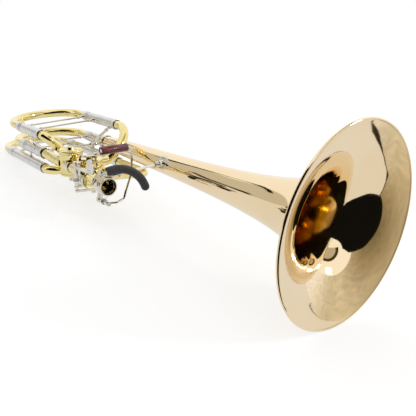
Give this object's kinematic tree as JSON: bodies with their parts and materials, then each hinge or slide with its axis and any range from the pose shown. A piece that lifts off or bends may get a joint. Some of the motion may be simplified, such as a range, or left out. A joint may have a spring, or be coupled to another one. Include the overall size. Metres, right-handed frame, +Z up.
{
  "type": "bass trombone bell section",
  "caption": "Bell section of a bass trombone: flared bell, rotary valves in line with their loops, tuning slides, thumb and finger levers, hand rest.",
  "frame": {"origin": "bottom centre of the bounding box, on the floor that the rim and the lowest crook rest on", "axes": "+X forward out of the bell, along the length; +Y toward the bell's side, away from the receiver; +Z up from the floor"},
  "size_m": [0.7656, 0.2694, 0.2401],
  "materials": {
    "rose_brass": "lacquered, polished",
    "yellow_brass": "lacquered, polished",
    "nickel_silver": "polished",
    "steel": "polished",
    "rosewood": "oiled",
    "foam": "matte"
  },
  "bodies": {
    "instrument": {"bell": "rose_brass", "bell_brace_flange": "nickel_silver", "bell_brace_rod": "nickel_silver", "receiver": "nickel_silver", "neckpipe": "yellow_brass", "valve_link_tube": "yellow_brass", "valve_link_ferrule": "nickel_silver", "f_valve_casing": "yellow_brass", "second_valve_casing": "yellow_brass", "f_valve_upper_cap": "yellow_brass", "f_valve_lower_cap": "yellow_brass", "second_valve_upper_cap": "yellow_brass", "second_valve_lower_cap": "yellow_brass", "main_left_sleeve": "nickel_silver", "main_right_sleeve": "nickel_silver", "main_supply_tube": "yellow_brass", "bell_tail_ferrule": "nickel_silver", "f_left_sleeve": "nickel_silver", "f_right_sleeve": "nickel_silver", "f_supply_tube": "yellow_brass", "f_front_crook": "yellow_brass", "second_left_sleeve": "nickel_silver", "second_right_sleeve": "nickel_silver", "second_supply_tube": "yellow_brass", "second_front_crook": "yellow_brass", "f_sleeve_brace": "nickel_silver", "main_cross_brace": "nickel_silver", "second_spacer_left": "nickel_silver", "second_spacer_right": "nickel_silver", "f_spacer": "nickel_silver", "thumb_lever_spring": "steel", "thumb_lever_bracket": "nickel_silver", "finger_lever_spring": "steel", "finger_lever_post": "nickel_silver", "finger_lever_pin": "steel", "hand_rest_clamp": "nickel_silver"},
    "f_rotor": {"f_valve_rotor": "yellow_brass", "f_valve_stop_arm": "nickel_silver"},
    "second_rotor": {"second_valve_rotor": "yellow_brass", "second_valve_stop_arm": "nickel_silver"},
    "thumb_lever": {"thumb_lever": "nickel_silver"},
    "f_link": {"f_link_rod": "nickel_silver"},
    "finger_lever": {"finger_lever": "nickel_silver", "second_link_rod": "nickel_silver"},
    "finger_roller": {"finger_roller": "rosewood"},
    "main_slide": {"main_slide_left_leg": "nickel_silver", "main_slide_right_leg": "nickel_silver", "main_slide_crook": "yellow_brass", "main_slide_brace": "nickel_silver"},
    "f_slide": {"f_slide_left_leg": "nickel_silver", "f_slide_right_leg": "nickel_silver", "f_slide_crook": "yellow_brass", "f_slide_brace": "nickel_silver"},
    "second_slide": {"second_slide_left_leg": "nickel_silver", "second_slide_right_leg": "nickel_silver", "second_slide_crook": "yellow_brass", "second_slide_brace": "nickel_silver"},
    "hand_rest": {"hand_rest_cover": "foam", "hand_rest_rod": "steel"}
  },
  "joints": [
    {"name": "f_rotor_turn", "type": "hinge", "parent": "instrument", "child": "f_rotor", "pos_m": [-0.08174, -0.0953, 0.05594], "axis": [-0.0975, -0.1392, 0.9855], "range_deg": [-90, 0]},
    {"name": "thumb_lever_pivot", "type": "hinge", "parent": "instrument", "child": "thumb_lever", "pos_m": [-0.0051, -0.12497, 0.06339], "axis": [-0.0975, -0.1392, 0.9855], "range_deg": [0, 33], "stiffness_Nm_per_rad": 0.3, "springref_deg": -17.19},
    {"name": "f_link_swing", "type": "hinge", "parent": "thumb_lever", "child": "f_link", "pos_m": [0.0042, -0.09834, 0.03763], "axis": [-0.0975, -0.1392, 0.9855], "range_deg": [-33, 0]},
    {"name": "second_rotor_turn", "type": "hinge", "parent": "instrument", "child": "second_rotor", "pos_m": [-0.01705, -0.0953, 0.06234], "axis": [-0.0975, -0.1392, 0.9855], "range_deg": [-90, 0]},
    {"name": "finger_lever_pivot", "type": "hinge", "parent": "instrument", "child": "finger_lever", "pos_m": [0.02365, -0.08874, 0.0267], "axis": [0.9951, 0, 0.0984], "range_deg": [0, 11.05], "stiffness_Nm_per_rad": 0.8, "springref_deg": -17.19},
    {"name": "roller_spin", "type": "hinge", "parent": "finger_lever", "child": "finger_roller", "pos_m": [0.02941, -0.08708, 0.11071], "axis": [-0.0137, 0.9903, 0.1385], "continuous": true},
    {"name": "main_slide_pull", "type": "slide", "parent": "instrument", "child": "main_slide", "axis": [-0.9951, 0, -0.0984], "range_m": [0, 0.045]},
    {"name": "f_slide_pull", "type": "slide", "parent": "instrument", "child": "f_slide", "axis": [-0.9951, 0, -0.0984], "range_m": [0, 0.06]},
    {"name": "second_slide_pull", "type": "slide", "parent": "instrument", "child": "second_slide", "axis": [-0.9951, 0, -0.0984], "range_m": [0, 0.08]},
    {"name": "hand_rest_swivel", "type": "hinge", "parent": "instrument", "child": "hand_rest", "pos_m": [0.05687, -0.12313, 0.07688], "axis": [0.0633, -0.766, -0.6397], "range_deg": [0, 30]}
  ],
  "couplings": [
    {"joint": "thumb_lever_pivot", "follows": "f_rotor_turn", "ratio": -0.36666},
    {"joint": "f_link_swing", "follows": "f_rotor_turn", "ratio": 0.36666},
    {"joint": "finger_lever_pivot", "follows": "second_rotor_turn", "ratio": -0.12277}
  ]
}
